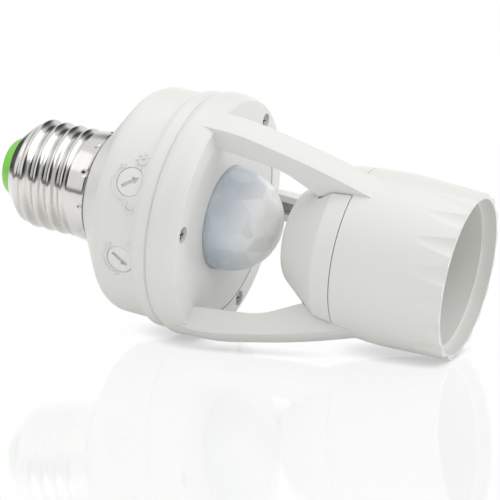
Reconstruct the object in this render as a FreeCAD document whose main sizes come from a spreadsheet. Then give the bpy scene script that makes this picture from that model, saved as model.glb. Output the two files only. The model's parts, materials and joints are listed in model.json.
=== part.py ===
import FreeCAD, Part
import math
import os
import Sketcher
from FreeCAD import Placement, Rotation, Vector

# Motion sensor lamp holder: screw plug, sensor housing with dome, three arms and lamp socket.
# The axis is +Z. The part stands on the rim of its socket mouth at z = 0, plug upwards.
# Arm 1 lies at azimuth 90 degrees (+Y), and a cover screw at -90 degrees (-Y).

SIZES = {
    # socket sleeve
    "mouth_step": 1.2,
    "mouth_bore_depth": 3.0,
    "rim_wall": 1.2,
    "sleeve_swell": 0.8,
    "sleeve_swell_height": 17.0,
    "sleeve_swell_round": 50.0,
    "sleeve_top_inset": 0.55,
    "sleeve_height": 26.0,
    "seat_step": 0.8,
    "seat_depth": 4.0,
    "flute_count": 18,
    "flute_length": 8.8,
    "flute_r": 4.8,
    "flute_depth": 0.7,
    # arms
    "arm_width": 6.2,
    "arm_wall": 1.8,
    "arm_channel_width": 3.0,
    "arm_stock": 0.5,
    "arm_top_inset": 0.17,
    "arm_top_rise": 2.8,
    "arm_elbow_inset": 0.22,
    "arm_elbow_drop": 5.6,
    "arm_elbow_round": 40.0,
    "arm_knee_reach": 4.38,
    "arm_knee_drop": 24.8,
    "arm_knee_round": 150.0,
    "arm_foot_inset": 0.52,
    "arm_foot_drop": 38.6,
    "arm_inner_inset": 0.3,
    "gusset_lean": 2.3,
    "gusset_drop": 16.2,
    "gusset_round": 16.0,
    "gusset_foot_inset": 1.4,
    "gusset_foot_height": 8.3,
    "arm_turn": 90.0,
    # sensor housing
    "housing_r": 29.3,
    "housing_wall": 1.9,
    "arm_span": 33.6,
    "ring_height": 7.5,
    "ring_wall": 1.7,
    "ring_face_inset": 1.0,
    "ring_edge_inset": 0.25,
    "ring_edge_height": 2.0,
    "ring_edge_round": 6.0,
    "ring_bulge_height": 5.9,
    "ring_bulge_round": 3.0,
    "ring_seam_inset": 0.85,
    "cover_height": 24.4,
    "cover_wall": 1.8,
    "cover_band_inset": 0.75,
    "cover_band_height": 3.0,
    "cover_body_inset": 1.9,
    "cover_shoulder_height": 14.4,
    "cover_shoulder_round": 5.0,
    "cover_end_step": 0.75,
    "spigot_depth": 1.5,
    "neck_height": 4.4,
    "neck_wall": 1.8,
    "seam_groove": 0.45,
    # screws
    "screw_column_r": 1.8,
    "screw_head_r": 1.75,
    "screw_head_height": 1.4,
    "screw_shank_r": 1.1,
    "screw_length": 11.0,
    "screw_recess": 1.9,
    "screw_recess_r": 1.9,
    "recess_wall": 0.2,
    "screw_boss_r": 3.1,
    "screw_boss_height": 1.5,
    # face plate and dome
    "plate_inset": 0.15,
    "plate_dish": 1.0,
    "plate_flange": 1.1,
    "plate_flange_height": 1.0,
    "standoff_r": 1.8,
    "standoff_space": 1.2,
    "hook_size": 1.0,
    "dome_r": 12.2,
    "dome_gap": 0.3,
    "dome_wall": 0.7,
    "dome_drop": 0.55,
    "dome_flange": 2.2,
    "dome_flange_height": 0.8,
    # plug
    "shell_wall": 0.35,
    "shell_crest_r": 13.25,
    "shell_thread_depth": 1.1,
    "thread_pitch": 3.63,
    "thread_turns": 4,
    "thread_land": 0.8,
    "thread_round": 0.5,
    "skirt_flare": 0.6,
    "skirt_height": 5.6,
    "nose_height": 3.4,
    "nose_r": 8.4,
    "nose_lip": 0.9,
    "nose_round": 0.8,
    "tip_height": 3.6,
    "tip_inset": 2.0,
    "tip_round": 1.8,
    "contact_head_r": 3.5,
    "contact_head_height": 0.8,
    "contact_shank_r": 1.9,
    # knobs and their trimmers
    "knob_height": 74.3,
    "knob_angle": 19.5,
    "knob_r": 3.3,
    "knob_cover_gap": 0.1,
    "knob_disc": 1.7,
    "knob_inset": 0.15,
    "knob_shaft_r": 1.7,
    "knob_shaft_length": 4.6,
    "knob_bore_gap": 0.05,
    "arrow_length": 4.4,
    "arrow_width": 0.7,
    "arrow_head": 1.5,
    "arrow_depth": 0.5,
    "arrow_turn": 35.0,
    "trimmer_width": 7.0,
    "trimmer_depth": 4.4,
    "trimmer_top": 3.6,
    "trimmer_gap": 0.35,
    # circuit board and what it carries
    "board_gap": 2.5,
    "board_thickness": 1.6,
    "board_post_reach": 1.5,
    "board_post_width": 3.0,
    "board_post_height": 9.0,
    "seat_r": 6.6,
    "seat_height": 4.0,
    "can_r": 4.1,
    "can_flange": 0.55,
    "can_height": 4.2,
    "cell_r": 2.0,
    "cell_offset": 8.9,
    "cell_height": 4.0,
    "cell_stand": 1.2,
    "lead_r": 0.3,
    "smoothing_r": 5.0,
    "smoothing_height": 13.0,
    "smoothing_x": 14.6,
    "smoothing_y": 4.6,
    "fuse_r": 1.6,
    "fuse_length": 9.0,
    "fuse_x": -17.0,
    # socket
    "contact_wall": 0.4,
    "socket_crest_r": 12.3,
    "socket_thread_depth": 1.0,
    "socket_turns": 4,
    "socket_flange_r": 10.2,
    "core_gap": 0.15,
    "core_wall": 1.3,
    "core_space": 1.65,
    "core_flange_height": 2.4,
    "core_floor_height": 29.4,
    "core_floor": 2.0,
    "cap_seam": 0.22,
    "cap_band_inset": 0.65,
    "cap_band_height": 5.0,
    "cap_slope_width": 8.4,
    "cap_top_round": 3.6,
    "cap_height": 16.3,
    "cap_wall": 1.6,
    "cap_spigot": 1.45,
    "cap_spigot_wall": 1.4,
    "cap_slot_gap": 0.3,
    "tongue_width": 5.5,
    "tongue_thickness": 0.5,
    "tongue_rivet_x": 6.8,
    "tongue_drop": 3.2,
    "rivet_r": 1.2,
    "rivet_head_r": 2.0,
    "rivet_head": 0.8,
    "shell_rivet_x": 11.7,
    "shell_rivet_r": 0.8,
    "shell_rivet_head_r": 1.3,
    # wiring
    "lamp_wire_r": 0.9,
    "feed_wire_r": 0.7,
    # general
    "seat_gap": 0.1,
}
# arms, screws, columns, posts, stand-offs and hooks repeat this many times round the axis
ARMS = 3
FIRST_SCREW = -90

doc = FreeCAD.newDocument("lamp_holder")
sheet = doc.addObject("Spreadsheet::Sheet", "Sizes")
for row, (size_name, size_value) in enumerate(SIZES.items(), start=1):
    sheet.set(f"A{row}", size_name)
    sheet.set(f"B{row}", str(size_value))
    sheet.setAlias(f"B{row}", size_name)
doc.recompute()


class Size:
    """A length that carries its value and the sheet formula that it comes from."""

    def __init__(self, value, formula=None):
        self.value = float(value)
        self.formula = formula or repr(float(value))

    def join(self, other, sign, value):
        return Size(value, f"({self.formula} {sign} {size_of(other).formula})")

    def __add__(self, other):
        return self.join(other, "+", self.value + size_of(other).value)

    def __sub__(self, other):
        return self.join(other, "-", self.value - size_of(other).value)

    def __mul__(self, other):
        return self.join(other, "*", self.value * size_of(other).value)

    def __truediv__(self, other):
        return self.join(other, "/", self.value / size_of(other).value)

    def __radd__(self, other):
        return size_of(other) + self

    def __rsub__(self, other):
        return size_of(other) - self

    def __rmul__(self, other):
        return size_of(other) * self

    def __rtruediv__(self, other):
        return size_of(other) / self

    def __neg__(self):
        return Size(-self.value, f"(-{self.formula})")


def size_of(item):
    return item if isinstance(item, Size) else Size(item)


def cell(alias):
    return Size(SIZES[alias], f"Sizes.{alias}")


def cosine(angle):
    return Size(math.cos(math.radians(angle.value)), f"cos({angle.formula})")


def sine(angle):
    return Size(math.sin(math.radians(angle.value)), f"sin({angle.formula})")


def arctangent(ratio):
    return Size(math.degrees(math.atan(ratio.value)), f"atan({ratio.formula})")


def bind(item, path, size):
    item.setExpression(path, size_of(size).formula)


# heights along the axis
seam_low_z = cell("sleeve_height")
face_z = seam_low_z + cell("arm_span")
seam_z = face_z + cell("ring_height")
cover_end_z = seam_z + cell("cover_height")
skirt_end_z = cover_end_z + cell("skirt_height") + cell("seat_gap")
thread_end_z = skirt_end_z + cell("thread_turns") * cell("thread_pitch")
nose_end_z = thread_end_z + cell("nose_height")
tip_end_z = nose_end_z + cell("tip_height")
seat_z = face_z + cell("ring_wall")
screw_seat_z = face_z + cell("screw_recess")
column_z = screw_seat_z + cell("screw_boss_height")
board_top_z = seam_z + cell("board_thickness")
core_floor_z = cell("core_floor_height")
core_back_z = core_floor_z + cell("core_floor")
cap_base_z = seam_low_z + cell("cap_seam")

# radii of the lamp socket, from its thread outwards to the sleeve, the cap and the arms' feet
socket_root_r = cell("socket_crest_r") + cell("socket_thread_depth")
core_bore_r = socket_root_r + cell("contact_wall") + cell("core_gap")
core_tube_r = core_bore_r + cell("core_wall")
socket_bore_r = core_tube_r + cell("core_space")
mouth_bore_r = socket_bore_r + cell("mouth_step")
rim_r = mouth_bore_r + cell("rim_wall")
sleeve_r = rim_r + cell("sleeve_swell")
sleeve_top_r = sleeve_r - cell("sleeve_top_inset")
seat_bore_r = socket_bore_r + cell("seat_step")
seat_spigot_r = seat_bore_r - cell("seat_gap")
cap_band_r = sleeve_top_r - cell("cap_band_inset")
cap_top_r = cap_band_r - cell("cap_slope_width")
gusset_foot_r = seat_bore_r - cell("gusset_foot_inset")
arm_foot_r = sleeve_r - cell("arm_foot_inset")
arm_knee_r = sleeve_r + cell("arm_knee_reach")

# radii of the sensor housing, from its widest place inwards
ring_face_r = cell("housing_r") - cell("ring_face_inset")
ring_edge_r = cell("housing_r") - cell("ring_edge_inset")
ring_seam_r = cell("housing_r") - cell("ring_seam_inset")
ring_bore_r = cell("housing_r") - cell("housing_wall")
cover_band_r = cell("housing_r") - cell("cover_band_inset")
cover_body_r = cell("housing_r") - cell("cover_body_inset")
arm_top_r = cell("housing_r") - cell("arm_top_inset")
arm_elbow_r = cell("housing_r") - cell("arm_elbow_inset")
screw_circle_r = ring_bore_r - cell("seat_gap") - cell("screw_column_r")
plate_bore_r = screw_circle_r - cell("screw_recess_r") - cell("recess_wall")
plate_flange_r = plate_bore_r + cell("plate_flange")
arm_inner_top_r = plate_bore_r + cell("arm_inner_inset")
gusset_r = arm_inner_top_r - cell("gusset_lean")
board_r = ring_bore_r - cell("board_gap")
board_post_r = board_r - cell("board_post_reach")

# radii that follow from the dome, the sensor can and the plug
dome_flange_r = cell("dome_r") + cell("dome_flange")
hook_in_r = dome_flange_r + cell("seat_gap")
standoff_circle_r = hook_in_r + cell("hook_size") + cell("standoff_space") + cell("standoff_r")
can_flange_r = cell("can_r") + cell("can_flange")
shell_root_r = cell("shell_crest_r") - cell("shell_thread_depth")
skirt_r = cell("shell_crest_r") + cell("skirt_flare")
cover_end_r = cell("shell_crest_r") + cell("cover_end_step")
nose_edge_r = cell("nose_r") + cell("nose_lip")
tip_r = cell("nose_r") - cell("tip_inset")


# building blocks
def new_body(label):
    body = doc.addObject("PartDesign::Body", label)
    body.Label = label
    return body


def origin_feature(body, role):
    return [item for item in body.Origin.OriginFeatures if item.Role == role][0]


def new_sketch(body, role, label, lift=None, turn=0.0):
    """Sketch on one of the body's own planes, lifted along its normal and turned in the plane."""
    sketch = body.newObject("Sketcher::SketchObject", label)
    sketch.AttachmentSupport = [(origin_feature(body, role), "")]
    sketch.MapMode = "FlatFace"
    if lift is not None or turn:
        height = size_of(lift or 0.0)
        sketch.AttachmentOffset = Placement(Vector(0, 0, height.value), Rotation(Vector(0, 0, 1), turn))
        if lift is not None:
            bind(sketch, "AttachmentOffset.Base.z", height)
    return sketch


def hold(sketch, geometry, position, x, y):
    """Bind one point of a sketch to its two coordinates."""
    for kind, size, axis in (("DistanceX", size_of(x), -2), ("DistanceY", size_of(y), -1)):
        if abs(size.value) < 1e-9:
            sketch.addConstraint(Sketcher.Constraint("PointOnObject", geometry, position, axis))
        elif size.value > 0:
            index = sketch.addConstraint(Sketcher.Constraint(kind, geometry, position, size.value))
            bind(sketch, f"Constraints[{index}]", size)
        else:
            index = sketch.addConstraint(
                Sketcher.Constraint(kind, geometry, position, -1, 1, -size.value))
            bind(sketch, f"Constraints[{index}]", -size)


def rounding(before, corner, after, radius):
    """Tangent points, centre and turning sense of the arc that rounds a corner."""
    along_in = (corner - before).normalize()
    along_out = (after - corner).normalize()
    turn = along_in.getAngle(along_out)
    reach = radius * math.tan(turn / 2)
    sense = 1 if along_in.cross(along_out).z > 0 else -1
    start = corner - along_in * reach
    end = corner + along_out * reach
    centre = start + Vector(-along_in.y, along_in.x, 0) * (radius * sense)
    return start, end, centre, sense


def draw_outline(sketch, corners):
    """Closed outline of straight sides. A corner is (x, y) or (x, y, round)."""
    points = [Vector(size_of(c[0]).value, size_of(c[1]).value, 0) for c in corners]
    count = len(corners)
    rounds = []
    for i, c in enumerate(corners):
        if len(c) == 3:
            rounds.append(rounding(points[i - 1], points[i], points[(i + 1) % count],
                                   size_of(c[2]).value))
        else:
            rounds.append(None)
    sides = []
    for i in range(count):
        j = (i + 1) % count
        start = rounds[i][1] if rounds[i] else points[i]
        end = rounds[j][0] if rounds[j] else points[j]
        sides.append(sketch.addGeometry(Part.LineSegment(start, end), False))
    for i, c in enumerate(corners):
        before = sides[i - 1]
        after = sides[i]
        if rounds[i] is None:
            sketch.addConstraint(Sketcher.Constraint("Coincident", before, 2, after, 1))
            hold(sketch, after, 1, c[0], c[1])
            continue
        start, end, centre, sense = rounds[i]
        radius = size_of(c[2])
        first, last = (start, end) if sense > 0 else (end, start)
        angle_first = math.atan2(first.y - centre.y, first.x - centre.x)
        angle_last = math.atan2(last.y - centre.y, last.x - centre.x)
        circle = Part.Circle(centre, Vector(0, 0, 1), radius.value)
        arc = sketch.addGeometry(Part.ArcOfCircle(circle, angle_first, angle_last), False)
        mark = sketch.addGeometry(Part.Point(points[i]), True)
        hold(sketch, mark, 1, c[0], c[1])
        sketch.addConstraint(Sketcher.Constraint("PointOnObject", mark, 1, before))
        sketch.addConstraint(Sketcher.Constraint("PointOnObject", mark, 1, after))
        at_start, at_end = (1, 2) if sense > 0 else (2, 1)
        sketch.addConstraint(Sketcher.Constraint("Tangent", before, 2, arc, at_start))
        sketch.addConstraint(Sketcher.Constraint("Tangent", after, 1, arc, at_end))
        index = sketch.addConstraint(Sketcher.Constraint("Radius", arc, radius.value))
        bind(sketch, f"Constraints[{index}]", radius)


def draw_circle(sketch, x, y, radius):
    centre = Vector(size_of(x).value, size_of(y).value, 0)
    ring = sketch.addGeometry(Part.Circle(centre, Vector(0, 0, 1), size_of(radius).value), False)
    hold(sketch, ring, 3, x, y)
    index = sketch.addConstraint(Sketcher.Constraint("Radius", ring, size_of(radius).value))
    bind(sketch, f"Constraints[{index}]", radius)


def revolve(body, label, corners, role="XZ_Plane", axis="V_Axis"):
    """Turned piece from an outline of (radius, height) corners."""
    sketch = new_sketch(body, role, f"{label}_outline")
    draw_outline(sketch, corners)
    feature = body.newObject("PartDesign::Revolution", label)
    feature.Profile = sketch
    feature.ReferenceAxis = (sketch, [axis])
    feature.Angle = 360
    doc.recompute()
    return feature


def extrude(body, label, sketch, length, kind="Pad", both_ways=False, reverse=False, taper=None):
    feature = body.newObject(f"PartDesign::{kind}", label)
    feature.Profile = sketch
    feature.Type = "Length"
    feature.SideType = "Symmetric" if both_ways else "One side"
    feature.Reversed = reverse
    feature.Length = size_of(length).value
    bind(feature, "Length", length)
    if taper is not None:
        feature.TaperAngle = taper.value
        bind(feature, "TaperAngle", taper)
    doc.recompute()
    return feature


def repeat(body, label, features, count):
    """Copies of features, evenly spaced round the axis."""
    pattern = body.newObject("PartDesign::PolarPattern", label)
    pattern.Originals = features
    pattern.Axis = (origin_feature(body, "Z_Axis"), [""])
    pattern.Angle = 360
    pattern.Occurrences = int(size_of(count).value)
    if isinstance(count, Size):
        bind(pattern, "Occurrences", count)
    body.Tip = pattern
    doc.recompute()
    return pattern


def put(item, x, y, z):
    """Bind the place of an object."""
    for path, size in (("x", x), ("y", y), ("z", z)):
        bind(item, f"Placement.Base.{path}", size)


def new_box(label, length, width, height, middle_x, middle_y, base_z):
    item = doc.addObject("Part::Box", label)
    item.Label = label
    bind(item, "Length", length)
    bind(item, "Width", width)
    bind(item, "Height", height)
    put(item, middle_x - size_of(length) / 2, middle_y - size_of(width) / 2, base_z)
    return item


finished = []


def finish(item):
    finished.append(item)
    return item


def wave(inner_r, outer_r, first_z, turns, rounded=True):
    """Corners of a rolled thread's section, rising from first_z, valley first, with a flat on each."""
    corners = []
    pitch = cell("thread_pitch")
    half = cell("thread_land") / 2
    corner_end = (cell("thread_round"),) if rounded else ()
    for turn in range(int(turns.value)):
        valley_z = first_z + pitch * (turn + 0.25)
        for radius, middle_z in ((inner_r, valley_z), (outer_r, valley_z + pitch / 2)):
            corners.append((radius, middle_z - half) + corner_end)
            corners.append((radius, middle_z + half) + corner_end)
    return corners


# plug
def make_screw_shell():
    wall = cell("shell_wall")
    bend = cell("thread_round")
    base_z = cover_end_z + cell("seat_gap")
    flare_z = skirt_end_z - cell("thread_pitch") * 0.1
    crest = cell("shell_crest_r")
    turns = cell("thread_turns")
    outer = [(skirt_r, base_z), (crest, flare_z, bend)]
    outer += wave(shell_root_r, crest, skirt_end_z, turns)
    outer += [(nose_edge_r, nose_end_z, cell("nose_round")), (cell("nose_r"), nose_end_z)]
    inner = [(cell("nose_r"), nose_end_z - wall),
             (nose_edge_r - wall / 2, nose_end_z - wall, cell("nose_round") - wall)]
    inner += reversed(wave(shell_root_r - wall, crest - wall, skirt_end_z, turns, rounded=False))
    inner += [(crest - wall, flare_z, bend), (skirt_r - wall, base_z)]
    body = new_body("screw_shell")
    revolve(body, "shell_turning", outer + inner)
    return finish(body)


def make_tip():
    wall = cell("shell_wall")
    neck_r = cell("nose_r") - cell("seat_gap")
    low_z = nose_end_z - wall * 5
    body = new_body("tip_insulator")
    revolve(body, "tip_turning", [
        (cell("contact_shank_r"), low_z),
        (neck_r + wall * 3, low_z),
        (neck_r, nose_end_z - wall * 2),
        (neck_r, nose_end_z + wall),
        (tip_r, tip_end_z, cell("tip_round")),
        (cell("contact_shank_r"), tip_end_z),
    ])
    finish(body)
    contact = new_body("centre_contact")
    shank = cell("contact_shank_r")
    head = cell("contact_head_r")
    top_z = tip_end_z + cell("contact_head_height")
    tail_z = low_z - cell("contact_head_height")
    revolve(contact, "contact_turning", [
        (0, tail_z),
        (shank * 1.4, tail_z),
        (shank * 1.4, low_z),
        (shank, low_z),
        (shank, tip_end_z),
        (head, tip_end_z),
        (head, top_z, cell("contact_head_height") * 0.7),
        (0, top_z),
    ])
    finish(contact)


# sensor housing
def make_rear_cover():
    wall = cell("cover_wall")
    spigot_r = ring_bore_r - cell("seat_gap")
    inside_r = cover_body_r - wall
    band_z = seam_z + cell("cover_band_height")
    neck_r = cell("shell_crest_r") - cell("shell_wall") - cell("seat_gap")
    groove = cell("seam_groove")
    shoulder_z = seam_z + cell("cover_shoulder_height")
    round_out = cell("cover_shoulder_round")
    base_z = seam_z + cell("seat_gap")
    body = new_body("rear_cover")
    revolve(body, "cover_turning", [
        (inside_r, seam_z - cell("spigot_depth")),
        (spigot_r, seam_z - cell("spigot_depth")),
        (spigot_r, base_z),
        (cover_band_r - groove, base_z),
        (cover_band_r, base_z + groove),
        (cover_band_r, band_z, groove),
        (cover_body_r, band_z + cell("cover_band_height") * 0.6, groove * 3),
        (cover_body_r, shoulder_z, round_out),
        (cover_end_r, cover_end_z, groove),
        (neck_r, cover_end_z),
        (neck_r, cover_end_z + cell("neck_height")),
        (neck_r - cell("neck_wall"), cover_end_z + cell("neck_height")),
        (neck_r - cell("neck_wall"), cover_end_z - wall * 1.1),
        (inside_r, shoulder_z - wall * 0.7, round_out - wall),
    ])
    # columns that take the screws
    column_length = cell("screw_length") - cell("screw_boss_height") + wall
    sketch = new_sketch(body, "XY_Plane", "column_circle", column_z)
    draw_circle(sketch, 0, -screw_circle_r, cell("screw_column_r"))
    column = extrude(body, "screw_column", sketch, column_length)
    repeat(body, "screw_columns", [column], ARMS)
    sketch = new_sketch(body, "XY_Plane", "pilot_circle", column_z)
    draw_circle(sketch, 0, -screw_circle_r, cell("screw_shank_r"))
    pilot = extrude(body, "pilot_hole", sketch, column_length - wall / 2, "Pocket", reverse=True)
    repeat(body, "pilot_holes", [pilot], ARMS)
    # posts that stop the board
    sketch = new_sketch(body, "YZ_Plane", "post_outline")
    draw_outline(sketch, [
        (board_post_r, board_top_z),
        (inside_r + wall * 0.5, board_top_z),
        (inside_r + wall * 0.5, board_top_z + cell("board_post_height")),
        (inside_r, board_top_z + cell("board_post_height")),
    ])
    post = extrude(body, "board_post", sketch, cell("board_post_width"), both_ways=True)
    repeat(body, "board_posts", [post], ARMS)
    # holes for the two knobs
    for name, side in (("lux", 1), ("time", -1)):
        sketch = new_sketch(body, "XZ_Plane", f"{name}_hole_circle")
        sketch.AttachmentOffset = Placement(Vector(), Rotation(Vector(0, side, 0), SIZES["knob_angle"]))
        bind(sketch, "AttachmentOffset.Rotation.Angle", cell("knob_angle"))
        draw_circle(sketch, 0, cell("knob_height"), cell("knob_r") + cell("knob_cover_gap"))
        extrude(body, f"{name}_hole", sketch, cover_band_r + wall, "Pocket", reverse=True)
    return finish(body)


def arm_outer(shift):
    """Outer side of an arm's section from the ring down towards the sleeve, moved inwards by shift."""
    return [
        (arm_top_r - shift, face_z + cell("arm_top_rise")),
        (arm_elbow_r - shift, face_z - cell("arm_elbow_drop"), cell("arm_elbow_round")),
        (arm_knee_r - shift, face_z - cell("arm_knee_drop"), cell("arm_knee_round")),
    ]


def make_front_frame():
    body = new_body("front_frame")
    ring_wall = cell("ring_wall")
    revolve(body, "ring_turning", [
        (plate_bore_r, face_z),
        (ring_face_r, face_z, cell("seam_groove")),
        (ring_edge_r, face_z + cell("ring_edge_height"), cell("ring_edge_round")),
        (cell("housing_r"), face_z + cell("ring_bulge_height"), cell("ring_bulge_round")),
        (ring_seam_r, seam_z),
        (ring_bore_r, seam_z),
        (ring_bore_r, seat_z),
        (plate_bore_r, seat_z),
    ])
    # arms: flat stock, then turned outside to the ring's own line
    sketch = new_sketch(body, "YZ_Plane", "arm_outline")
    stock = cell("arm_stock")
    root_z = face_z + ring_wall * 0.75
    foot_z = face_z - cell("arm_foot_drop")
    gusset_foot_z = seam_low_z + cell("gusset_foot_height")
    draw_outline(sketch, arm_outer(-stock) + [
        (arm_foot_r, foot_z),
        (seat_bore_r + cell("seat_gap"), seam_low_z - cell("seat_gap")),
        (seat_bore_r + cell("seat_gap"), seam_low_z + cell("cap_band_height")),
        (gusset_foot_r, gusset_foot_z),
        (gusset_r, face_z - cell("gusset_drop"), cell("gusset_round")),
        (arm_inner_top_r, root_z),
        (ring_bore_r + cell("seat_gap"), root_z),
        (ring_bore_r + cell("seat_gap"), face_z + cell("arm_top_rise")),
    ])
    arm = extrude(body, "arm", sketch, cell("arm_width"), both_ways=True)
    repeat(body, "arms", [arm], ARMS)
    sketch = new_sketch(body, "XZ_Plane", "arm_turning_outline")
    clear_r = cell("housing_r") * 1.2
    draw_outline(sketch, arm_outer(size_of(0)) + [
        (arm_foot_r, foot_z),
        (clear_r, foot_z),
        (clear_r, face_z + cell("arm_top_rise")),
    ])
    turning = body.newObject("PartDesign::Groove", "arm_turning")
    turning.Profile = sketch
    turning.ReferenceAxis = (sketch, ["V_Axis"])
    turning.Angle = 360
    doc.recompute()
    # sleeve
    revolve(body, "sleeve_turning", [
        (mouth_bore_r, 0),
        (rim_r, 0),
        (sleeve_r, cell("sleeve_swell_height"), cell("sleeve_swell_round")),
        (sleeve_top_r, seam_low_z),
        (seat_bore_r, seam_low_z),
        (seat_bore_r, seam_low_z - cell("seat_depth")),
        (socket_bore_r, seam_low_z - cell("seat_depth")),
        (socket_bore_r, cell("mouth_bore_depth")),
        (mouth_bore_r, cell("mouth_bore_depth")),
    ])
    # channel along each arm, open towards the axis
    sketch = new_sketch(body, "YZ_Plane", "channel_outline")
    channel = arm_outer(cell("arm_wall"))
    channel[0] = (channel[0][0], face_z + ring_wall * 1.5)
    floor_z = seam_low_z + cell("seat_gap") * 12
    slope = (arm_knee_r - arm_foot_r) / (cell("arm_foot_drop") - cell("arm_knee_drop"))
    foot_r = arm_knee_r - slope * (face_z - cell("arm_knee_drop") - floor_z) - cell("arm_wall")
    lip_r = arm_inner_top_r + cell("arm_wall") * 0.3
    draw_outline(sketch, channel + [
        (foot_r, floor_z),
        (cell("socket_flange_r"), floor_z),
        (cell("socket_flange_r"), face_z - cell("arm_wall") * 0.5),
        (lip_r, face_z - cell("arm_wall") * 0.5),
        (lip_r, face_z + ring_wall * 1.5),
    ])
    slot = extrude(body, "channel", sketch, cell("arm_channel_width"), "Pocket", both_ways=True)
    repeat(body, "channels", [slot], ARMS)
    # screw bosses with a recess for the head
    sketch = new_sketch(body, "XY_Plane", "boss_circle", seat_z)
    draw_circle(sketch, 0, -screw_circle_r, cell("screw_boss_r"))
    boss = extrude(body, "screw_boss", sketch, column_z - seat_z)
    repeat(body, "screw_bosses", [boss], ARMS)
    for name, radius, depth in (
            ("recess", cell("screw_recess_r"), cell("screw_recess")),
            ("clearance", cell("screw_shank_r") + cell("seat_gap"), cell("ring_height"))):
        sketch = new_sketch(body, "XY_Plane", f"{name}_circle", face_z)
        draw_circle(sketch, 0, -screw_circle_r, radius)
        hole = extrude(body, f"screw_{name}", sketch, depth, "Pocket", reverse=True)
        repeat(body, f"screw_{name}s", [hole], ARMS)
    # finger flutes round the mouth
    centre_r = rim_r - cell("flute_depth") + cell("flute_r")
    rise = (sleeve_r - rim_r) / cell("sleeve_swell_height")
    narrowing = cell("flute_depth") + rise * cell("flute_length")
    taper = arctangent(narrowing / cell("flute_length"))
    sketch = new_sketch(body, "XY_Plane", "flute_circle")
    flute_turn = cell("arm_turn") + 180 / cell("flute_count")
    draw_circle(sketch, centre_r * cosine(flute_turn), centre_r * sine(flute_turn), cell("flute_r"))
    flute = extrude(body, "flute", sketch, cell("flute_length"), "Pocket", reverse=True, taper=-taper)
    repeat(body, "flutes", [flute], cell("flute_count"))
    return finish(body)


# face plate and lens
def make_face_plate():
    bore_r = cell("dome_r") + cell("dome_gap")
    disc_r = plate_bore_r - cell("plate_inset")
    low_z = face_z + cell("plate_inset")
    top_z = seat_z + cell("plate_flange_height")
    body = new_body("face_plate")
    revolve(body, "plate_turning", [
        (bore_r, low_z + cell("plate_dish")),
        (disc_r, low_z),
        (disc_r, seat_z),
        (plate_flange_r, seat_z),
        (plate_flange_r, top_z),
        (bore_r, top_z),
    ])
    sketch = new_sketch(body, "XY_Plane", "boss_notch_circle", seat_z)
    draw_circle(sketch, 0, -screw_circle_r, cell("screw_boss_r") + cell("seat_gap"))
    notch = extrude(body, "boss_notch", sketch, cell("ring_height"), "Pocket", reverse=True)
    repeat(body, "boss_notches", [notch], ARMS)
    # stand-offs between plate and board, and hooks over the lens flange
    sketch = new_sketch(body, "XY_Plane", "standoff_circle", top_z)
    draw_circle(sketch, 0, -standoff_circle_r, cell("standoff_r"))
    standoff = extrude(body, "standoff", sketch, seam_z - top_z)
    repeat(body, "standoffs", [standoff], ARMS)
    hook_z = top_z + cell("dome_flange_height") + cell("seat_gap")
    hook = cell("hook_size")
    sketch = new_sketch(body, "YZ_Plane", "hook_outline")
    draw_outline(sketch, [
        (hook_in_r, top_z),
        (hook_in_r + hook, top_z),
        (hook_in_r + hook, hook_z + hook),
        (hook_in_r, hook_z + hook),
        (hook_in_r - hook, hook_z + hook / 2),
        (hook_in_r - hook, hook_z),
        (hook_in_r, hook_z),
    ])
    lens_hook = extrude(body, "lens_hook", sketch, hook * 4, both_ways=True)
    repeat(body, "lens_hooks", [lens_hook], ARMS)
    finish(body)
    dome = new_body("dome_lens")
    centre_z = face_z - cell("dome_drop")
    outer = cell("dome_r")
    inner = outer - cell("dome_wall")
    near_round = 0.985
    flange_z = top_z + cell("dome_flange_height")
    revolve(dome, "dome_turning", [
        (0, centre_z - outer),
        (outer, centre_z - outer, outer * near_round),
        (outer, top_z),
        (dome_flange_r, top_z),
        (dome_flange_r, flange_z),
        (inner, flange_z),
        (inner, centre_z - inner, inner * near_round),
        (0, centre_z - inner),
    ])
    finish(dome)


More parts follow.
